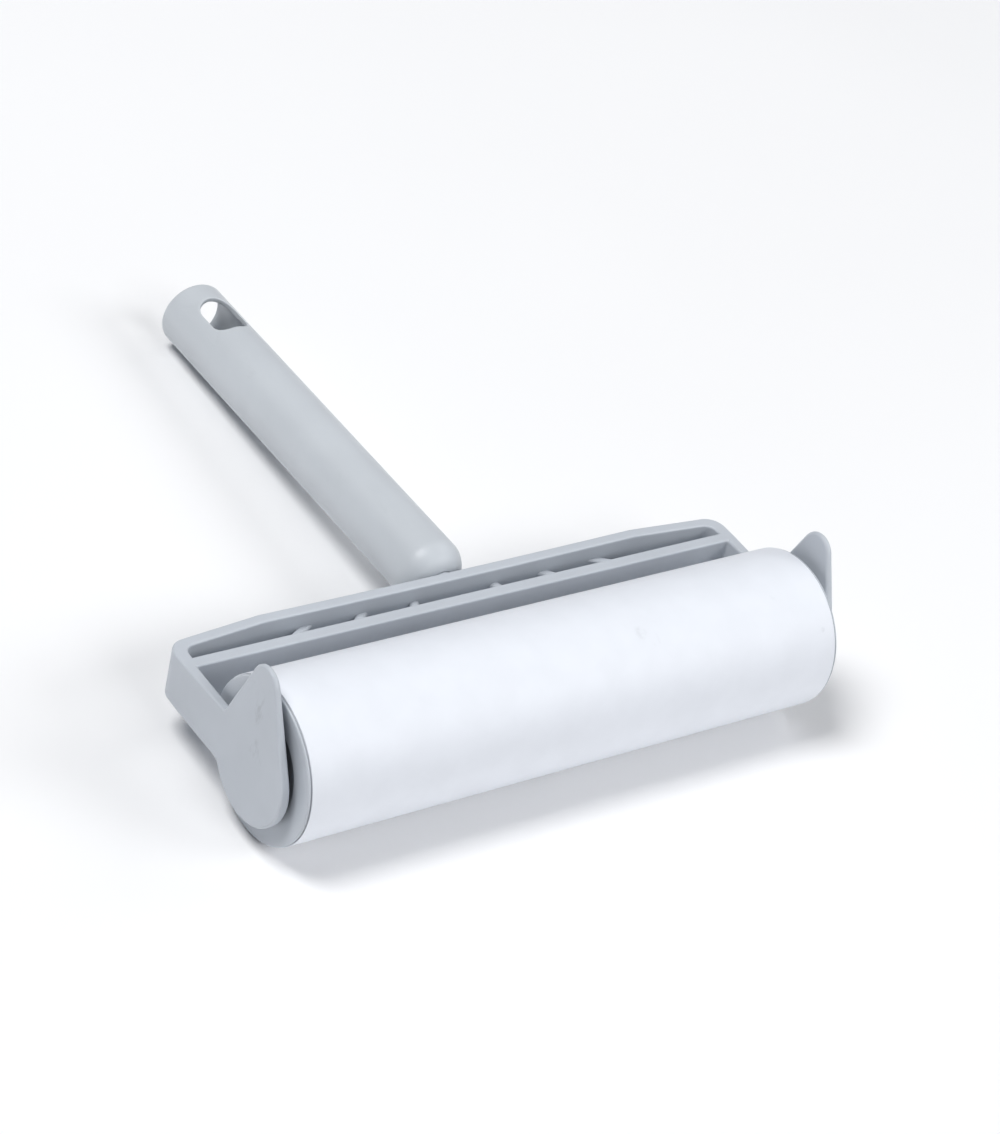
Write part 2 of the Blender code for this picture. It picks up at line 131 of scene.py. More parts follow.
# Handle
HANDLE_FRONT_Y = 0.0574
HANDLE_END_Y = 0.2258
HANDLE_RADIUS_FRONT = 0.01245
HANDLE_RADIUS_END = 0.01265
HANDLE_NOSE_ROUND = 0.009
HANDLE_LIP_ROUND = 0.0012
HANDLE_WALL = 0.0019
SOCKET_RADIUS = 0.0055
SOCKET_WALL = 0.0022
SOCKET_END_Y = 0.098
SPIGOT_RADIUS = 0.0052
SPIGOT_END_Y = 0.0965
SPIGOT_FIN = 0.0026
SPIGOT_COLLAR = 0.003
HOLE_FRONT_Y = 0.1975
HOLE_END_Y = 0.2162
HOLE_HALF_WIDTH = 0.0067
HOLE_CORNER_RADIUS = 0.0042
HOLE_EDGE_ROUND = 0.0006
HOLE_COLLAR = 2.2 * HOLE_EDGE_ROUND
HANDLE_COLUMNS = 128
HOLE_COLUMNS = 18
HOLE_STATIONS = [0.194 + 0.0014 * i for i in range(19)]

# Rounding of edges; the shares of ROUND_WIDTH grow by the LOW ones down to the cheeks' lowest points
SHARP_ANGLE = radians(30)
ROUND_WIDTH = 0.001
SMALL_SHARE = 0.3
INNER_SHARE = 1.05
INNER_LOW_SHARE = 0.75
OUTER_SHARE = 0.75
OUTER_LOW_SHARE = 0.2
EDGE_MARGIN = 0.001

# Colours
GREY = (0.538, 0.572, 0.618)
PALE_GREY = (0.58, 0.613, 0.647)
SHEET_WHITE = (0.83, 0.857, 0.91)
WOUND_WHITE = (0.83, 0.85, 0.9)
BOARD_BROWN = (0.50, 0.38, 0.26)

# Marks of use, as (place in the yoke's frame, reach along each axis)
CHEEK_RUBS = [
    ((-0.1112, 0, 0.022), (0.003, 0.005, 0.008)),
    ((-0.1112, -0.003, 0.0085), (0.003, 0.0065, 0.005)),
    ((-0.1112, 0.006, 0.0272), (0.003, 0.0016, 0.004)),
]
SHEET_MARKS = [
    ((0.0272, -0.0108, 0.0252), (0.003, 0.003, 0.003)),
    ((0.0315, -0.0138, 0.0238), (0.0025, 0.003, 0.003)),
    ((0.1, -0.0219, 0.0166), (0.0012, 0.0012, 0.0012)),
    ((0.0838, -0.0102, 0.0255), (0.0014, 0.0014, 0.0014)),
]
# Painted shade on the caps, not a mark of use: their colour darkens within this reach of the roll's axis,
# standing in for the shadow in the gap between each cheek and its cap
CAP_PAINTED_SHADE_REACH = 0.0222

# Camera, in the world
CAMERA_PLACE = (-0.6000, -0.6513, 0.7018)
CAMERA_TARGET = (0.0279, -0.0381, 0.0215)
CAMERA_ROLL = radians(19.08)
CAMERA_LENS = 103.5


def rest_matrix():
    """Where the yoke's frame lies in the world: on the joint's axis, tipped as the beam's underside is."""
    axis_point = frame["joints"][0]["pos_m"]
    mounts = {mount["name"]: mount for mount in frame["record"]["mounts"]}
    down = mounts["beam_underside"]["axis"]
    return Matrix.Translation(axis_point) @ Matrix.Rotation(-atan2(-down[1], -down[2]), 4, "X")


REST = rest_matrix()


# ---------------------------------------------------------------- shapes

def arc(centre, radius, start, end, steps):
    angles = [start + (end - start) * i / steps for i in range(steps + 1)]
    return [(centre[0] + radius * cos(a), centre[1] + radius * sin(a)) for a in angles]


def rounded(before, corner, after, radius, steps=12):
    """Points that round the corner between two straight edges with the given radius."""
    corner = Vector(corner)
    to_before = (Vector(before) - corner).normalized()
    to_after = (Vector(after) - corner).normalized()
    half = acos(to_before.dot(to_after)) / 2
    centre = corner + (to_before + to_after).normalized() * radius / sin(half)
    first = corner + to_before * radius / tan(half) - centre
    last = corner + to_after * radius / tan(half) - centre
    turn = first.angle_signed(last)
    start = atan2(first.y, first.x)
    return arc(centre, radius, start, start - turn, steps)


def mesh_object(name, bm):
    mesh = bpy.data.meshes.new(name)
    bm.to_mesh(mesh)
    bm.free()
    obj = bpy.data.objects.new(name, mesh)
    bpy.context.scene.collection.objects.link(obj)
    return obj


def plate(name, outline, thickness):
    """Flat plate of the given outline in its local XY plane, centred on its local Z."""
    curve = bpy.data.curves.new(name, "CURVE")
    curve.dimensions = "2D"
    curve.fill_mode = "BOTH"
    curve.extrude = thickness / 2
    spline = curve.splines.new("POLY")
    spline.points.add(len(outline) - 1)
    for point, (x, y) in zip(spline.points, outline):
        point.co = (x, y, 0, 1)
    spline.use_cyclic_u = True
    drawn = bpy.data.objects.new(name + "_curve", curve)
    bpy.context.scene.collection.objects.link(drawn)
    mesh = bpy.data.meshes.new_from_object(drawn.evaluated_get(bpy.context.evaluated_depsgraph_get()))
    bpy.data.objects.remove(drawn)
    bm = bmesh.new()
    bm.from_mesh(mesh)
    bpy.data.meshes.remove(mesh)
    bmesh.ops.remove_doubles(bm, verts=bm.verts, dist=1e-6)
    bmesh.ops.dissolve_limit(bm, angle_limit=radians(0.3), verts=bm.verts, edges=bm.edges)
    return mesh_object(name, bm)


def cylinder(name, radius, start, end, axis, chamfer=0, segments=64):
    """Cylinder along axis "X" or "Y" from start to end; chamfer breaks the edge at its end."""
    bm = bmesh.new()
    bmesh.ops.create_cone(bm, cap_ends=True, segments=segments, radius1=radius, radius2=radius,
                          depth=abs(end - start))
    if chamfer:
        far_edge = [e for e in bm.edges if all(v.co.z > 0 for v in e.verts)]
        bmesh.ops.bevel(bm, geom=far_edge, offset=chamfer, segments=3, profile=0.5, affect="EDGES")
    obj = mesh_object(name, bm)
    way = 1 if end > start else -1
    obj.rotation_euler = (0, way * pi / 2, 0) if axis == "X" else (-way * pi / 2, 0, 0)
    middle = (start + end) / 2
    obj.location = (middle, 0, 0) if axis == "X" else (0, middle, 0)
    return obj


def block(name, size, location, turn=0):
    bm = bmesh.new()
    bmesh.ops.create_cube(bm, size=1)
    bmesh.ops.scale(bm, vec=size, verts=bm.verts)
    obj = mesh_object(name, bm)
    obj.location = location
    obj.rotation_euler.z = turn
    return obj


def turned(name, profile, segments=128):
    """Solid of revolution about local Z; profile is a closed loop of (radius, height) points."""
    bm = bmesh.new()
    rings = []
    for i in range(segments):
        turn = Matrix.Rotation(2 * pi * i / segments, 3, "Z")
        rings.append([bm.verts.new(turn @ Vector((radius, 0, height))) for radius, height in profile])
    count = len(profile)
    for i in range(segments):
        here, there = rings[i], rings[(i + 1) % segments]
        for j in range(count):
            k = (j + 1) % count
            bm.faces.new((here[j], there[j], there[k], here[k]))
    bmesh.ops.recalc_face_normals(bm, faces=bm.faces)
    return mesh_object(name, bm)


def combine(obj, tools, operation):
    """Boolean of obj with each tool in turn, worked out at once; the tools are then removed."""
    for tool in tools:
        modifier = obj.modifiers.new(tool.name, "BOOLEAN")
        modifier.operation = operation
        modifier.object = tool
        modifier.solver = "EXACT"
    bake(obj)
    for tool in tools:
        bpy.data.objects.remove(tool)


def bake(obj):
    """Replace an object's mesh with the result of its modifiers."""
    evaluated = obj.evaluated_get(bpy.context.evaluated_depsgraph_get())
    mesh = bpy.data.meshes.new_from_object(evaluated)
    obj.modifiers.clear()
    old = obj.data
    obj.data = mesh
    bpy.data.meshes.remove(old)


def clean(obj, merge=3e-6):
    """Weld stray vertices and make flat faces whole again."""
    bm = bmesh.new()
    bm.from_mesh(obj.data)
    bmesh.ops.remove_doubles(bm, verts=bm.verts, dist=merge)
    bmesh.ops.dissolve_limit(bm, angle_limit=radians(0.2), verts=bm.verts, edges=bm.edges)
    bm.to_mesh(obj.data)
    bm.free()


def round_edges(obj, weight_at, segments=4):
    """Round each sharp edge by ROUND_WIDTH times weight_at(its middle)."""
    bm = bmesh.new()
    bm.from_mesh(obj.data)
    weights = bm.edges.layers.float.new("bevel_weight_edge")
    for edge in bm.edges:
        if len(edge.link_faces) == 2 and edge.calc_face_angle() > SHARP_ANGLE:
            edge[weights] = weight_at((edge.verts[0].co + edge.verts[1].co) / 2)
    bm.to_mesh(obj.data)
    bm.free()
    bevel = obj.modifiers.new("edge_round", "BEVEL")
    bevel.limit_method = "WEIGHT"
    bevel.width = ROUND_WIDTH
    bevel.segments = segments
    bevel.use_clamp_overlap = False
    bevel.loop_slide = False
    bake(obj)


def shade(obj, angle=radians(40)):
    """Smooth shading that leaves flat faces flat."""
    obj.data.shade_smooth()
    obj.data.set_sharp_from_angle(angle=angle)
    weighted = obj.modifiers.new("weighted_normals", "WEIGHTED_NORMAL")
    weighted.keep_sharp = True
    weighted.weight = 80
    bake(obj)


def finish_piece(obj, body, nodes, material):
    """Lay the piece down as the CAD lies and tie it to its body, CAD nodes, slot and material."""
    bpy.context.view_layer.update()
    obj.data.transform(REST @ obj.matrix_world)
    obj.matrix_world = Matrix.Identity(4)
    obj.data.materials.clear()
    obj.data.materials.append(material)
    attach(obj, body)
    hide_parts(*nodes)


# ---------------------------------------------------------------- yoke

def rear_line(x):
    """How far the rear wall is sunk in at x, as it bows a little between its bends."""
    return REAR_WALL_BOW * (1 - (x / REAR_BEND_X) ** 2)


def beam_outline():
    """Plan of the yoke's beam and arms, anticlockwise."""
    corner = (ARM_OUTER_X_REAR, REAR_CORNER_Y)
    bend = (REAR_BEND_X, REAR_WALL_Y)
    arm_rear = (ARM_OUTER_X_REAR, ARM_TAPER_END_Y - CORNER_RADIUS)
    right = [
        (ARM_INNER_X, FRONT_WALL_Y),
        (ARM_INNER_X, ARM_ROOT_Y),
        (ARM_OUTER_X_FRONT, ARM_ROOT_Y),
        (ARM_OUTER_X_FRONT, ARM_TAPER_START_Y),
        arm_rear,
        *rounded(arm_rear, corner, bend, CORNER_RADIUS, 18),
        bend,
    ]
    bow = [(x, REAR_WALL_Y - rear_line(x)) for x in BOW_STATIONS]
    return right + bow + [(-x, y) for x, y in reversed(right)]


def channel_outline():
    """Plan of the open channel between the beam's two walls, anticlockwise."""
    front = FRONT_WALL_Y + FRONT_WALL_THICKNESS
    rear = REAR_WALL_Y - REAR_WALL_THICKNESS
    slope = (REAR_WALL_Y - REAR_CORNER_Y) / (ARM_OUTER_X_REAR - REAR_BEND_X)
    near = (CHANNEL_END_X, front)
    far = (CHANNEL_END_X, rear - slope * (CHANNEL_END_X - REAR_BEND_X))
    bend = (REAR_BEND_X, rear)
    right = [near, *rounded(near, far, bend, CHANNEL_CORNER_RADIUS, 14), bend]
    bow = [(x, rear - rear_line(x)) for x in BOW_STATIONS]
    return right + bow + [(-x, y) for x, y in reversed(right)]


def cheek_outline():
    """Side view of one cheek and its horn, as (y, z) points, anticlockwise from the notch."""
    disc = Vector((CHEEK_CENTRE_Y, CHEEK_CENTRE_Z))
    tip = Vector((HORN_TIP_Y, HORN_TIP_Z))
    notch = Vector((NOTCH_Y, YOKE_TOP_Z))
    rise = tip - disc
    side = pi - asin((CHEEK_RADIUS - HORN_TIP_RADIUS) / rise.length) + atan2(-rise.x, rise.y)
    to_notch = notch - tip
    back = atan2(to_notch.y, to_notch.x) + acos(HORN_TIP_RADIUS / to_notch.length)
    reach = CHEEK_RADIUS + NECK_FILLET
    drop = YOKE_BOTTOM_Z - NECK_FILLET - CHEEK_CENTRE_Z
    bearing = asin(drop / reach)
    centre = (CHEEK_CENTRE_Y + reach * cos(bearing), CHEEK_CENTRE_Z + drop)
    return [
        (NOTCH_Y + 2 * JOIN_DEPTH, YOKE_TOP_Z - JOIN_DEPTH),
        (NOTCH_Y, YOKE_TOP_Z),
        *arc(tip, HORN_TIP_RADIUS, back, side, 30),
        *arc(disc, CHEEK_RADIUS, side, 2 * pi + bearing, 56),
        *arc(centre, NECK_FILLET, bearing + pi, pi / 2, 10)[1:],
        (centre[0] + JOIN_DEPTH, YOKE_BOTTOM_Z + JOIN_DEPTH),
    ]


def cheek(side):
    """Cheek plate with its horn, stub axle and shoulder; side is 1 for right and -1 for left."""
    label = "right" if side > 0 else "left"
    thickness = ARM_OUTER_X_FRONT - ARM_INNER_X
    panel = plate(label + "_cheek", cheek_outline(), thickness)
    panel.matrix_world = Matrix(((0, 0, 1, side * (ARM_INNER_X + thickness / 2)), (1, 0, 0, 0),
                                 (0, 1, 0, 0), (0, 0, 0, 1)))
    root = ARM_OUTER_X_FRONT - JOIN_DEPTH
    shoulder = cylinder(label + "_shoulder", AXLE_SHOULDER_RADIUS,
                        side * root, side * AXLE_SHOULDER_FACE, "X")
    axle = cylinder(label + "_axle", AXLE_RADIUS, side * root, side * AXLE_TIP, "X", AXLE_CHAMFER)
    return [panel, shoulder, axle]


def web_section(height):
    """Section of a web, its rounded top at the origin and its sides straight down to -height."""
    half = WEB_THICKNESS / 2
    return [
        (half, -height),
        *arc((half - WEB_TOP_ROUND, -WEB_TOP_ROUND), WEB_TOP_ROUND, 0, pi / 2, 6),
        *arc((WEB_TOP_ROUND - half, -WEB_TOP_ROUND), WEB_TOP_ROUND, pi / 2, pi, 6),
        (-half, -height),
    ]


def webs():
    """Six low webs across the channel, fanned out from a point behind the handle's neck."""
    front = FRONT_WALL_Y + FRONT_WALL_THICKNESS / 2
    rear = REAR_WALL_Y - REAR_WALL_THICKNESS / 2
    middle = (front + rear) / 2
    height = WEB_TOP_Z - CHANNEL_FLOOR_Z + JOIN_DEPTH
    made = []
    for side in (-1, 1):
        for number, position in enumerate(WEB_POSITIONS):
            turn = atan2(position, WEB_FAN_Y - middle)
            web = plate(f"web_{side}_{number}", web_section(height), (rear - front) / cos(turn))
            web.data.transform(Matrix.Rotation(pi / 2, 4, "X"))
            web.location = (side * position, middle, WEB_TOP_Z)
            web.rotation_euler.z = side * turn
            made.append(web)
    return made


def spigot():
    """Cross-shaped spigot behind the beam, round at its neck and at its tip."""
    wall = REAR_WALL_Y - REAR_WALL_THICKNESS / 2
    neck_end = HANDLE_FRONT_Y + SPIGOT_COLLAR
    length = SPIGOT_END_Y - neck_end
    middle = (SPIGOT_END_Y + neck_end) / 2 - JOIN_DEPTH / 2
    reach = 2 * SPIGOT_RADIUS - JOIN_DEPTH
    return [
        cylinder("neck", SPIGOT_RADIUS, wall, neck_end, "Y"),
        cylinder("tip_collar", SPIGOT_RADIUS, SPIGOT_END_Y - SPIGOT_COLLAR, SPIGOT_END_Y, "Y", AXLE_CHAMFER),
        block("upright_fin", (SPIGOT_FIN, length, reach), (0, middle, 0)),
        block("level_fin", (reach, length, SPIGOT_FIN), (0, middle, 0)),
    ]


def outer_draft(x, y, rise):
    """How far the outer side face slopes in at a place that lies rise above the beam's top edge."""
    along = min(max((y - ARM_TAPER_START_Y) / (REAR_CORNER_Y - ARM_TAPER_START_Y), 0), 1)
    if y > ARM_TAPER_END_Y - CORNER_RADIUS:
        along *= min(max(1 - (ARM_OUTER_X_REAR - x) / CORNER_RADIUS, 0), 1)
    return CORNER_OUTER_DRAFT * along * max(-rise, 0)


def on_corner_arc(x, y):
    """Whether a place is on the rounding of a rear corner, where the slope fades out."""
    return x > CHANNEL_END_X - CORNER_RADIUS and y > REAR_CORNER_Y - CORNER_ARC_REACH


def draft_side_faces(obj):
    """Slope the arms' and cheeks' inner faces, which open upwards, and the arms' outer faces."""
    near = 1e-5
    for vertex in obj.data.vertices:
        x, y, z = vertex.co
        side = 1 if x > 0 else -1
        rise = z - YOKE_TOP_Z
        if abs(abs(x) - ARM_INNER_X) < near and y < FRONT_WALL_Y + near:
            vertex.co.x += side * INNER_DRAFT * rise
        elif abs(x) > ARM_INNER_X + near or on_corner_arc(abs(x), y):
            vertex.co.x -= side * outer_draft(abs(x), y, rise)


def yoke_rounding(point):
    """Share of ROUND_WIDTH by which the yoke's edge at this point is rounded."""
    x, y, z = abs(point.x), point.y, point.z
    in_channel = FRONT_WALL_Y < y < REAR_WALL_Y and x < CHANNEL_END_X
    if x < SPIGOT_RADIUS + EDGE_MARGIN and y > REAR_WALL_Y + EDGE_MARGIN:
        return SMALL_SHARE
    if x < ARM_OUTER_X_FRONT - EDGE_MARGIN and hypot(y, z) < AXLE_SHOULDER_RADIUS + EDGE_MARGIN / 2:
        return SMALL_SHARE
    if in_channel and CHANNEL_FLOOR_Z < z < WEB_TOP_Z + EDGE_MARGIN / 2:
        return 0
    low = min(max(-z / CHEEK_RADIUS, 0), 1)
    if x < ARM_INNER_X + 2 * EDGE_MARGIN and y < FRONT_WALL_Y - EDGE_MARGIN:
        return INNER_SHARE + INNER_LOW_SHARE * low
    return OUTER_SHARE + OUTER_LOW_SHARE * low


def build_yoke():
    yoke = plate("yoke_moulding", beam_outline(), YOKE_TOP_Z - YOKE_BOTTOM_Z)
    yoke.data.transform(Matrix.Translation((0, 0, (YOKE_TOP_Z + YOKE_BOTTOM_Z) / 2)))
    depth = YOKE_TOP_Z - CHANNEL_FLOOR_Z + JOIN_DEPTH
    channel = plate("channel", channel_outline(), depth)
    channel.location.z = CHANNEL_FLOOR_Z + depth / 2
    combine(yoke, [channel], "DIFFERENCE")
    combine(yoke, webs() + cheek(-1) + cheek(1) + spigot(), "UNION")
    clean(yoke)
    draft_side_faces(yoke)
    round_edges(yoke, yoke_rounding)
    shade(yoke)
    return yoke


# ---------------------------------------------------------------- handle

def handle_radius(y):
    """Outside radius of the handle's straight run, which widens a little towards the far end."""
    start, end = HANDLE_FRONT_Y + HANDLE_NOSE_ROUND, HANDLE_END_Y - HANDLE_LIP_ROUND
    return HANDLE_RADIUS_FRONT + (HANDLE_RADIUS_END - HANDLE_RADIUS_FRONT) * (y - start) / (end - start)


def handle_profile(stations):
    """Half section of the handle as (radius, y) points; both walls have a point at every station."""
    bore = HANDLE_RADIUS_END - HANDLE_WALL
    lip = (HANDLE_RADIUS_END - HANDLE_LIP_ROUND, HANDLE_END_Y - HANDLE_LIP_ROUND)
    nose = (HANDLE_RADIUS_FRONT - HANDLE_NOSE_ROUND, HANDLE_FRONT_Y + HANDLE_NOSE_ROUND)
    inner_round = HANDLE_NOSE_ROUND - HANDLE_WALL
    socket_outside = SOCKET_RADIUS + SOCKET_WALL
    mouth = -acos((SOCKET_RADIUS - nose[0]) / HANDLE_NOSE_ROUND)
    root = -acos((socket_outside - nose[0]) / inner_round)
    inner_lip = 0.0005
    outside = [(handle_radius(y), y) for y in reversed(stations)]
    inside = [(handle_radius(y) - HANDLE_WALL, y) for y in stations]
    head = [*arc((bore + inner_lip, HANDLE_END_Y - inner_lip), inner_lip, pi, pi / 2, 4),
            *arc(lip, HANDLE_LIP_ROUND, pi / 2, 0, 8)]
    front = [*arc(nose, HANDLE_NOSE_ROUND, 0, mouth, 24), (SOCKET_RADIUS, SOCKET_END_Y),
             (socket_outside, SOCKET_END_Y), *arc(nose, inner_round, root, 0, 12)]
    return head + outside + front + inside, len(head), len(head + outside + front)


def hole_outline():
    """Hanging hole seen from above: square corners softened at the front, a half circle at the far end."""
    x = HOLE_HALF_WIDTH
    turn_y = HOLE_END_Y - HOLE_HALF_WIDTH
    front_left = (-x, HOLE_FRONT_Y)
    front_right = (x, HOLE_FRONT_Y)
    return [
        *rounded((-x, turn_y), front_left, front_right, HOLE_CORNER_RADIUS, 10),
        *rounded(front_left, front_right, (x, turn_y), HOLE_CORNER_RADIUS, 10),
        *arc((0, turn_y), x, 0, pi, 30),
    ]


def hole_edge(towards, outline, middle):
    """Where the line from the hole's middle towards a point meets the outline, and the outward way there."""
    way = Vector(towards) - middle
    for start, end in zip(outline, outline[1:] + outline[:1]):
        start, side = Vector(start), Vector(end) - Vector(start)
        across = way.cross(side)
        if across > 0:
            share = (start - middle).cross(way) / across
            if -1e-9 <= share <= 1 + 1e-9:
                return start + side * share, Vector((side.y, -side.x)).normalized()


def hole_rings(edges, sign, inset, steps=5):
    """Rings of points round the hole on the wall that lies inset below the outside, from the wall to the
    bore of the hole: two on the wall, then a rounding that ends straight up and down."""
    def wall_point(flat):
        radius = handle_radius(flat.y) - inset
        return Vector((flat.x, flat.y, sign * sqrt(radius * radius - flat.x * flat.x)))

    drop = Vector((0, 0, sign * HOLE_EDGE_ROUND * (1 if inset else -1)))
    rings = [[wall_point(flat + way * HOLE_COLLAR) for flat, way in edges]]
    for step in range(steps + 1):
        share = step / steps
        ring = []
        for flat, way in edges:
            start, corner = wall_point(flat + way * HOLE_EDGE_ROUND), wall_point(flat)
            ring.append(start * (1 - share) ** 2 + corner * 2 * share * (1 - share)
                        + (corner + drop) * share ** 2)
        rings.append(ring)
    return rings


def cut_window(bm, columns, first, inner_first, turn, outline, sign):
    """Close the window left in both walls round the column at turn, leaving the hanging hole."""
    count = len(columns)
    last = len(HOLE_STATIONS) - 1
    spans = [(i, 0) for i in range(-HOLE_COLUMNS, HOLE_COLUMNS)]
    spans += [(HOLE_COLUMNS, j) for j in range(last)]
    spans += [(i, last) for i in range(HOLE_COLUMNS, -HOLE_COLUMNS, -1)]
    spans += [(-HOLE_COLUMNS, j) for j in range(last, 0, -1)]
    outer = [columns[(turn + i) % count][first + last - j] for i, j in spans]
    inner = [columns[(turn + i) % count][inner_first + j] for i, j in spans]
    middle = Vector((0, (HOLE_FRONT_Y + HOLE_END_Y) / 2))
    edges = [hole_edge(vertex.co.xy, outline, middle) for vertex in outer]
    outside = [[bm.verts.new(p) for p in ring] for ring in hole_rings(edges, sign, 0)]
    inside = [[bm.verts.new(p) for p in ring] for ring in hole_rings(edges, sign, HANDLE_WALL)]
    rings = [outer, *outside, *reversed(inside), inner]
    for here, there in zip(rings, rings[1:]):
        for k in range(len(here)):
            m = (k + 1) % len(here)
            bm.faces.new((here[k], here[m], there[m], there[k]))


def build_handle():
    """Tube with a rounded nose, an inner socket and the hanging hole through both of its walls."""
    profile, first, inner_first = handle_profile(HOLE_STATIONS)
    count, size, last = HANDLE_COLUMNS, len(profile), len(HOLE_STATIONS) - 1
    bm = bmesh.new()
    columns = []
    for i in range(count):
        angle = 2 * pi * i / count
        columns.append([bm.verts.new((r * sin(angle), y, r * cos(angle))) for r, y in profile])
    for i in range(count):
        in_window = min((i + HOLE_COLUMNS) % (count // 2), 2 * HOLE_COLUMNS) < 2 * HOLE_COLUMNS
        here, there = columns[i], columns[(i + 1) % count]
        for j in range(size):
            on_hole = first <= j < first + last or inner_first <= j < inner_first + last
            if not (in_window and on_hole):
                k = (j + 1) % size
                bm.faces.new((here[j], there[j], there[k], here[k]))
    outline = hole_outline()
    cut_window(bm, columns, first, inner_first, 0, outline, 1)
    cut_window(bm, columns, first, inner_first, count // 2, outline, -1)
    bmesh.ops.recalc_face_normals(bm, faces=bm.faces)
    handle = mesh_object("handle_tube", bm)
    shade(handle, radians(50))
    return handle


# ---------------------------------------------------------------- refill roll

def dish_slope(steps=24):
    """Points of the gentle slope from the flat middle of a cap's outer face up to its rim."""
    shares = [i / steps for i in range(steps + 1)]
    return [(CAP_DISH_END + (CAP_DISH_START - CAP_DISH_END) * share,
             CAP_OUTER_FACE - CAP_DISH_DEPTH * (1 + cos(pi * share)) / 2) for share in shares]


def cap_profile():
    """Half section of an end cap: dished flange with a well, spigot for the core, hub for the axle."""
    edge = (CAP_RADIUS - CAP_EDGE_ROUND, CAP_OUTER_FACE - CAP_EDGE_ROUND)
    bore = CAP_SPIGOT_RADIUS - CAP_SPIGOT_WALL
    return [
        (CAP_HOLE_RADIUS, CAP_OUTER_FACE - CAP_WELL_DEPTH),
        (CAP_WELL_RADIUS, CAP_OUTER_FACE - CAP_WELL_DEPTH),
        (CAP_WELL_RADIUS + CAP_WELL_CHAMFER, CAP_OUTER_FACE - CAP_DISH_DEPTH),
        *dish_slope(),
        *arc(edge, CAP_EDGE_ROUND, pi / 2, 0, 6),
        (CAP_RADIUS, CAP_INNER_FACE + CAP_BACK_CHAMFER),
        (CAP_RADIUS - CAP_BACK_CHAMFER, CAP_INNER_FACE),
        (CAP_SPIGOT_RADIUS, CAP_INNER_FACE),
        (CAP_SPIGOT_RADIUS, CAP_SPIGOT_END + CAP_EDGE_ROUND),
        (CAP_SPIGOT_RADIUS - CAP_EDGE_ROUND, CAP_SPIGOT_END),
        (bore, CAP_SPIGOT_END),
        (bore, CAP_PLATE_BACK),
        (CAP_HUB_RADIUS, CAP_PLATE_BACK),
        (CAP_HUB_RADIUS, CAP_HUB_END),
        (CAP_HOLE_RADIUS, CAP_HUB_END),
    ]


def build_cap(name, side):
    """End cap with radial ribs between its hub and its spigot; side is 1 for right and -1 for left."""
    cap = turned(name, cap_profile())
    inner = CAP_HUB_RADIUS - CAP_RIB_BITE
    outer = CAP_SPIGOT_RADIUS - CAP_RIB_BITE
    depth = CAP_PLATE_BACK + CAP_RIB_BITE / 2 - CAP_RIB_END
    reach = (inner + outer) / 2
    ribs = []
    for number in range(CAP_RIB_COUNT):
        turn = 2 * pi * (number + 0.5) / CAP_RIB_COUNT
        place = (reach * cos(turn), reach * sin(turn), CAP_RIB_END + depth / 2)
        ribs.append(block(f"rib_{number}", (outer - inner, CAP_RIB_THICKNESS, depth), place, turn))
    combine(cap, ribs, "UNION")
    clean(cap)
    shade(cap)
    cap.rotation_euler.y = side * pi / 2
    return cap


def build_tube(name, inner, outer):
    """Plain tube along X, as long as the roll, with softened outer edges."""
    profile = [
        (inner, ROLL_HALF_LENGTH),
        (outer - SHEET_EDGE, ROLL_HALF_LENGTH),
        (outer, ROLL_HALF_LENGTH - SHEET_EDGE),
        (outer, SHEET_EDGE - ROLL_HALF_LENGTH),
        (outer - SHEET_EDGE, -ROLL_HALF_LENGTH),
        (inner, -ROLL_HALF_LENGTH),
    ]
    tube = turned(name, profile)
    shade(tube)
    tube.rotation_euler.y = pi / 2
    return tube


def build_outer_sheet():
    """The outermost sheet: it winds in by its own thickness, so its free edge stands as a fine step."""
    steps = 192
    bm = bmesh.new()
    columns = []
    for i in range(steps + 1):
        turn = (2 * pi - LAP_WIDTH) * i / steps
        outside = ROLL_RADIUS - SHEET_STEP * i / steps
        profile = [
            (ROLL_HALF_LENGTH, SHEET_INNER_RADIUS),
            (ROLL_HALF_LENGTH, outside - SHEET_EDGE),
            (ROLL_HALF_LENGTH - SHEET_EDGE, outside),
            (SHEET_EDGE - ROLL_HALF_LENGTH, outside),
            (-ROLL_HALF_LENGTH, outside - SHEET_EDGE),
            (-ROLL_HALF_LENGTH, SHEET_INNER_RADIUS),
        ]
        angle = LAP_ANGLE + turn
        columns.append([bm.verts.new((x, r * cos(angle), r * sin(angle))) for x, r in profile])
    for i, here in enumerate(columns):
        there = columns[(i + 1) % len(columns)]
        for j in range(len(here)):
            k = (j + 1) % len(here)
            bm.faces.new((here[j], here[k], there[k], there[j]))
    bmesh.ops.recalc_face_normals(bm, faces=bm.faces)
    sheet = mesh_object("outer_adhesive_sheet", bm)
    shade(sheet)
    return sheet


# ---------------------------------------------------------------- materials

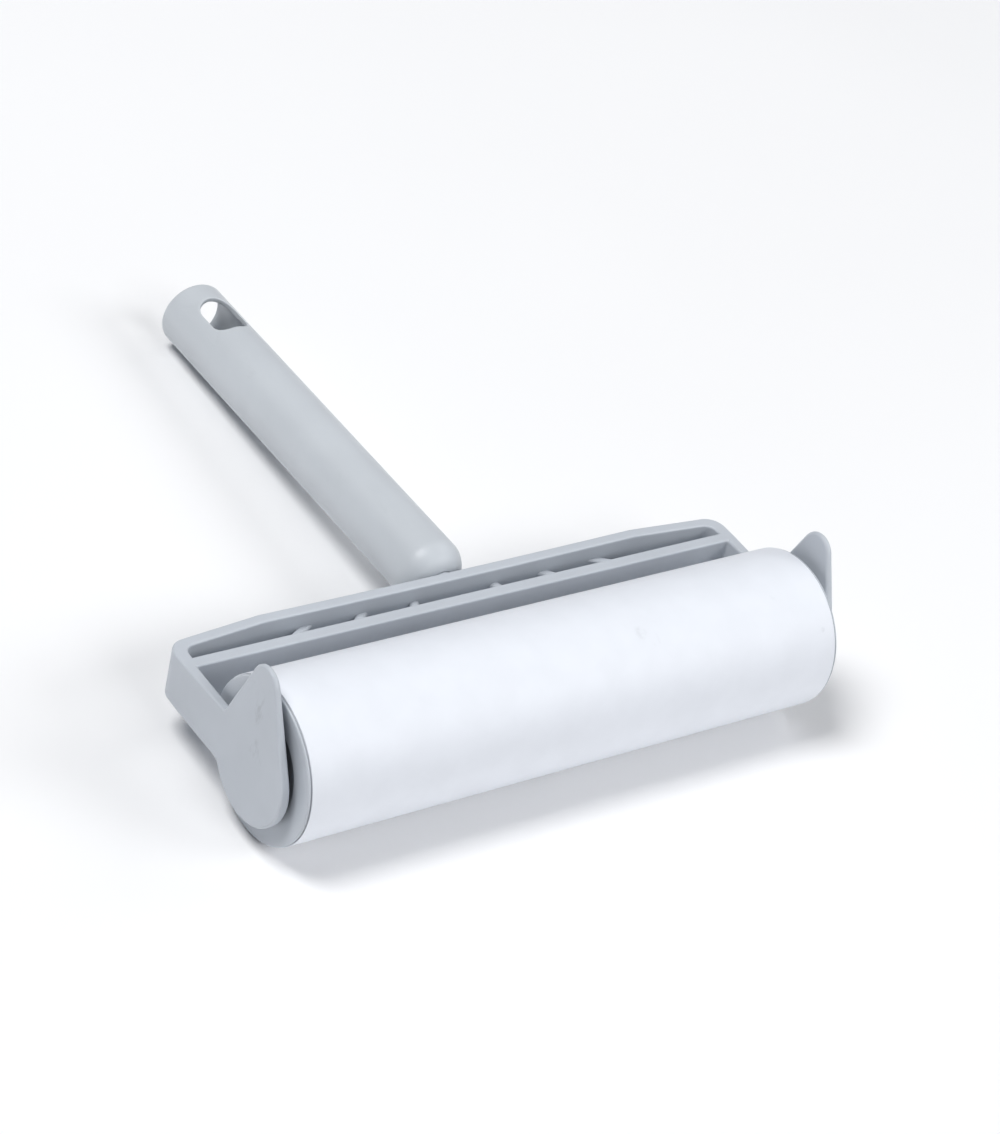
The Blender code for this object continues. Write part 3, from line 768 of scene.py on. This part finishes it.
class Nodes:
    """Short hand for building one node material."""

    def __init__(self, name, lying=True):
        self.material = bpy.data.materials.new(name)
        self.material.use_nodes = True
        self.tree = self.material.node_tree
        self.shader = self.tree.nodes["Principled BSDF"]
        self.coordinates = self.tree.nodes.new("ShaderNodeTexCoord").outputs["Object"]
        if lying:
            self.coordinates = self.upright()

    def upright(self):
        """Coordinates in the yoke's own frame, for a piece whose mesh is laid down as the CAD lies."""
        back = REST.inverted()
        mapping = self.tree.nodes.new("ShaderNodeMapping")
        mapping.inputs["Rotation"].default_value = back.to_euler()
        mapping.inputs["Location"].default_value = back.translation
        self.link(self.coordinates, mapping.inputs["Vector"])
        return mapping.outputs["Vector"]

    def link(self, source, target):
        self.tree.links.new(source, target)

    def stretched(self, scale):
        mapping = self.tree.nodes.new("ShaderNodeMapping")
        mapping.inputs["Scale"].default_value = scale
        self.link(self.coordinates, mapping.inputs["Vector"])
        return mapping.outputs["Vector"]

    def noise(self, scale, detail=2.0, roughness=0.5, vector=None):
        node = self.tree.nodes.new("ShaderNodeTexNoise")
        node.inputs["Scale"].default_value = scale
        node.inputs["Detail"].default_value = detail
        node.inputs["Roughness"].default_value = roughness
        self.link(vector or self.coordinates, node.inputs["Vector"])
        return node.outputs["Fac"]

    def span(self, value, low, high, to_low, to_high, smooth=False):
        node = self.tree.nodes.new("ShaderNodeMapRange")
        node.interpolation_type = "SMOOTHSTEP" if smooth else "LINEAR"
        for socket, number in zip(("From Min", "From Max", "To Min", "To Max"), (low, high, to_low, to_high)):
            node.inputs[socket].default_value = number
        self.link(value, node.inputs["Value"])
        return node.outputs["Result"]

    def maths(self, operation, first, second):
        node = self.tree.nodes.new("ShaderNodeMath")
        node.operation = operation
        for socket, value in zip(node.inputs, (first, second)):
            if isinstance(value, (int, float)):
                socket.default_value = value
            else:
                self.link(value, socket)
        return node.outputs["Value"]

    def mix(self, factor, first, second):
        node = self.tree.nodes.new("ShaderNodeMix")
        node.data_type = "RGBA"
        self.link(factor, node.inputs["Factor"])
        a = next(s for s in node.inputs if s.identifier == "A_Color")
        b = next(s for s in node.inputs if s.identifier == "B_Color")
        for socket, value in ((a, first), (b, second)):
            if isinstance(value, tuple):
                socket.default_value = (*value, 1)
            else:
                self.link(value, socket)
        return next(s for s in node.outputs if s.identifier == "Result_Color")

    def bump(self, height, distance, strength=1.0, under=None):
        node = self.tree.nodes.new("ShaderNodeBump")
        node.inputs["Strength"].default_value = strength
        node.inputs["Distance"].default_value = distance
        self.link(height, node.inputs["Height"])
        if under is not None:
            self.link(under, node.inputs["Normal"])
        return node.outputs["Normal"]

    def near(self, centre, reach):
        """1 at a place of the yoke's frame, falling to 0 at the reach along each axis."""
        mapping = self.tree.nodes.new("ShaderNodeMapping")
        mapping.vector_type = "TEXTURE"
        mapping.inputs["Location"].default_value = centre
        mapping.inputs["Scale"].default_value = reach
        self.link(self.coordinates, mapping.inputs["Vector"])
        length = self.tree.nodes.new("ShaderNodeVectorMath")
        length.operation = "LENGTH"
        self.link(mapping.outputs["Vector"], length.inputs[0])
        return self.span(length.outputs["Value"], 0.35, 1, 1, 0, True)


def tint(colour, amount):
    return tuple(min(1.0, c * amount) for c in colour)


def moulded_plastic(name, colour, streak, roughness, rubs=(), painted_shade_reach=0):
    """Satin moulded plastic: soft cloudiness, faint flow streaks, a fine mould texture, light scuffs, darker
    rubs at the given places, and painted shade: darkening that stands in for the shadow in the gap between
    cheek and cap and thins out towards a distance from the roll's axis."""
    n = Nodes(name)
    cloud = n.span(n.noise(38, 3), 0.35, 0.65, 0, 1)
    flow = n.span(n.noise(1, 3, 0.6, n.stretched(streak)), 0.3, 0.7, 0, 1)
    scuff = n.span(n.noise(210, 6, 0.72, n.stretched((1, 0.45, 0.8))), 0.56, 0.72, 0, 1, True)
    patch = n.span(n.noise(55, 2), 0.48, 0.62, 0, 1, True)
    worn = n.maths("MULTIPLY", scuff, patch)
    base = n.mix(cloud, tint(colour, 0.975), tint(colour, 1.02))
    base = n.mix(n.maths("MULTIPLY", flow, 0.35), base, tint(colour, 1.045))
    base = n.mix(n.maths("MULTIPLY", worn, 0.22), base, tint(colour, 0.86))
    rub = n.span(n.noise(330, 4, 0.65, n.stretched((1, 1, 0.35))), 0.5, 0.66, 0, 1, True)
    for centre, reach in rubs:
        base = n.mix(n.maths("MULTIPLY", n.maths("MULTIPLY", rub, n.near(centre, reach)), 0.8), base,
                     tint(colour, 0.83))
    # Painted shade: the colour darkens towards the roll's axis, standing in for the shadow in the gap between
    # cheek and cap
    if painted_shade_reach:
        painted_shade = n.span(n.near((0, 0, 0), (1, painted_shade_reach, painted_shade_reach)), 0, 0.5, 0, 0.85)
        base = n.mix(painted_shade, base, tint(colour, 0.25))
    n.link(base, n.shader.inputs["Base Color"])
    rough = n.maths("ADD", n.span(n.noise(160, 4), 0.3, 0.7, roughness - 0.04, roughness + 0.04),
                    n.maths("MULTIPLY", worn, 0.1))
    n.link(rough, n.shader.inputs["Roughness"])
    fine = n.bump(n.noise(1900, 2, 0.6), 0.00002, 0.5)
    wavy = n.bump(n.noise(60, 2), 0.0002, 0.25, fine)
    n.link(wavy, n.shader.inputs["Normal"])
    n.shader.inputs["IOR"].default_value = 1.49
    n.shader.inputs["Subsurface Weight"].default_value = 0.12
    n.shader.inputs["Subsurface Radius"].default_value = (1.0, 1.0, 1.0)
    n.shader.inputs["Subsurface Scale"].default_value = 0.002
    return n.material


def adhesive_paper(name, colour):
    """White adhesive paper: faint fibre mottling, slight ripples from the winding, a dull sheen."""
    n = Nodes(name)
    fibre = n.noise(1400, 5, 0.65, n.stretched((0.5, 1, 1)))
    mottle = n.span(n.noise(85, 3), 0.35, 0.65, 0, 1)
    base = n.mix(mottle, tint(colour, 0.985), tint(colour, 1.01))
    blot = n.span(n.noise(260, 3), 0.4, 0.6, 0, 1, True)
    for centre, reach in SHEET_MARKS:
        base = n.mix(n.maths("MULTIPLY", blot, n.near(centre, reach)), base, tint(colour, 0.9))
    n.link(base, n.shader.inputs["Base Color"])
    n.link(n.span(fibre, 0.3, 0.7, 0.46, 0.56), n.shader.inputs["Roughness"])
    ripple = n.bump(n.noise(1, 2, 0.5, n.stretched((9, 60, 60))), 0.0004, 0.12)
    n.link(n.bump(fibre, 0.00002, 0.35, ripple), n.shader.inputs["Normal"])
    n.shader.inputs["IOR"].default_value = 1.45
    return n.material


def wound_paper(name, colour):
    """Edge of the wound sheets: fine rings about the roll's axis."""
    n = Nodes(name)
    wave = n.tree.nodes.new("ShaderNodeTexWave")
    wave.wave_type = "RINGS"
    wave.rings_direction = "X"
    wave.inputs["Scale"].default_value = 900
    wave.inputs["Distortion"].default_value = 0.6
    n.link(n.coordinates, wave.inputs["Vector"])
    n.link(n.mix(wave.outputs["Fac"], tint(colour, 0.86), colour), n.shader.inputs["Base Color"])
    n.link(n.bump(wave.outputs["Fac"], 0.00005, 0.4), n.shader.inputs["Normal"])
    n.link(n.span(n.noise(300, 3), 0.3, 0.7, 0.6, 0.75), n.shader.inputs["Roughness"])
    return n.material


def paperboard(name, colour):
    """Grey-brown paperboard with flecks."""
    n = Nodes(name)
    fleck = n.span(n.noise(900, 4, 0.7), 0.45, 0.7, 0, 1)
    base = n.mix(fleck, tint(colour, 0.8), tint(colour, 1.12))
    n.link(base, n.shader.inputs["Base Color"])
    n.link(n.span(fleck, 0, 1, 0.78, 0.92), n.shader.inputs["Roughness"])
    n.link(n.bump(fleck, 0.00005, 0.4), n.shader.inputs["Normal"])
    return n.material


# ---------------------------------------------------------------- studio

def build_floor():
    bm = bmesh.new()
    bmesh.ops.create_grid(bm, x_segments=8, y_segments=8, size=4)
    floor = mesh_object("studio_floor", bm)
    n = Nodes("floor_white", lying=False)
    tone = n.span(n.noise(3, 2), 0.3, 0.7, 0, 1)
    n.link(n.mix(tone, (0.93, 0.93, 0.935), (0.95, 0.95, 0.955)), n.shader.inputs["Base Color"])
    n.shader.inputs["Roughness"].default_value = 0.9
    n.shader.inputs["Specular IOR Level"].default_value = 0.1
    floor.data.materials.append(n.material)


def area_light(name, place, target, size, power):
    data = bpy.data.lights.new(name, "AREA")
    data.shape = "DISK"
    data.size = size
    data.energy = power
    light = bpy.data.objects.new(name, data)
    light.location = place
    light.rotation_mode = "QUATERNION"
    light.rotation_quaternion = (Vector(target) - Vector(place)).to_track_quat("-Z", "Y")
    bpy.context.scene.collection.objects.link(light)


def build_lights():
    world = bpy.data.worlds.new("soft_studio")
    world.use_nodes = True
    sky = world.node_tree.nodes["Background"]
    sky.inputs["Color"].default_value = (0.9, 0.97, 1.1, 1)
    sky.inputs["Strength"].default_value = 0.12
    bpy.context.scene.world = world
    middle = (0, 0, 0.03)
    area_light("overhead_softbox", (-1.5, 0.6, 3.3), middle, 1.6, 94)
    area_light("right_softbox", (2.6, 0.2, 2.6), middle, 2.0, 14)
    area_light("front_softbox", (0, -2.8, 2.4), middle, 1.6, 27)
    area_light("front_right_softbox", (2.1, -2.1, 2.0), middle, 1.6, 34)


def build_camera():
    data = bpy.data.cameras.new("camera")
    data.lens = CAMERA_LENS
    data.clip_start = 0.01
    camera = bpy.data.objects.new("camera", data)
    camera.location = CAMERA_PLACE
    camera.rotation_mode = "QUATERNION"
    aim = (Vector(CAMERA_TARGET) - Vector(CAMERA_PLACE)).to_track_quat("-Z", "Y")
    camera.rotation_quaternion = aim @ Quaternion((0, 0, 1), CAMERA_ROLL)
    bpy.context.scene.collection.objects.link(camera)
    bpy.context.scene.camera = camera


def main():
    grey = moulded_plastic("grey_plastic", GREY, (14, 60, 14), 0.46, rubs=CHEEK_RUBS)
    # The caps' plastic carries painted shade towards the axle, standing in for the shadow between cheek and
    # cap
    cap_grey = moulded_plastic("cap_plastic", GREY, (14, 60, 14), 0.46, painted_shade_reach=CAP_PAINTED_SHADE_REACH)
    pale = moulded_plastic("pale_plastic", PALE_GREY, (90, 12, 90), 0.42)
    paper = adhesive_paper("adhesive_paper", SHEET_WHITE)
    wound = wound_paper("wound_paper", WOUND_WHITE)
    board = paperboard("core_paperboard", BOARD_BROWN)

    finish_piece(build_yoke(), "frame", ["yoke"], grey)
    finish_piece(build_handle(), "frame", ["handle"], pale)
    finish_piece(build_cap("left_cap", -1), "roller", ["left_end_cap"], cap_grey)
    finish_piece(build_cap("right_cap", 1), "roller", ["right_end_cap"], cap_grey)
    core = build_tube("paperboard_core", CORE_BORE_RADIUS, CORE_RADIUS)
    finish_piece(core, "roller", ["core_tube"], board)
    sheets = build_tube("wound_sheets", CORE_RADIUS + TOUCH_GAP, SHEET_INNER_RADIUS - TOUCH_GAP)
    finish_piece(sheets, "roller", ["sheet_roll"], wound)
    finish_piece(build_outer_sheet(), "roller", ["outer_sheet"], paper)

    build_floor()
    build_lights()
    build_camera()
    bpy.context.scene.view_settings.view_transform = "Standard"


main()
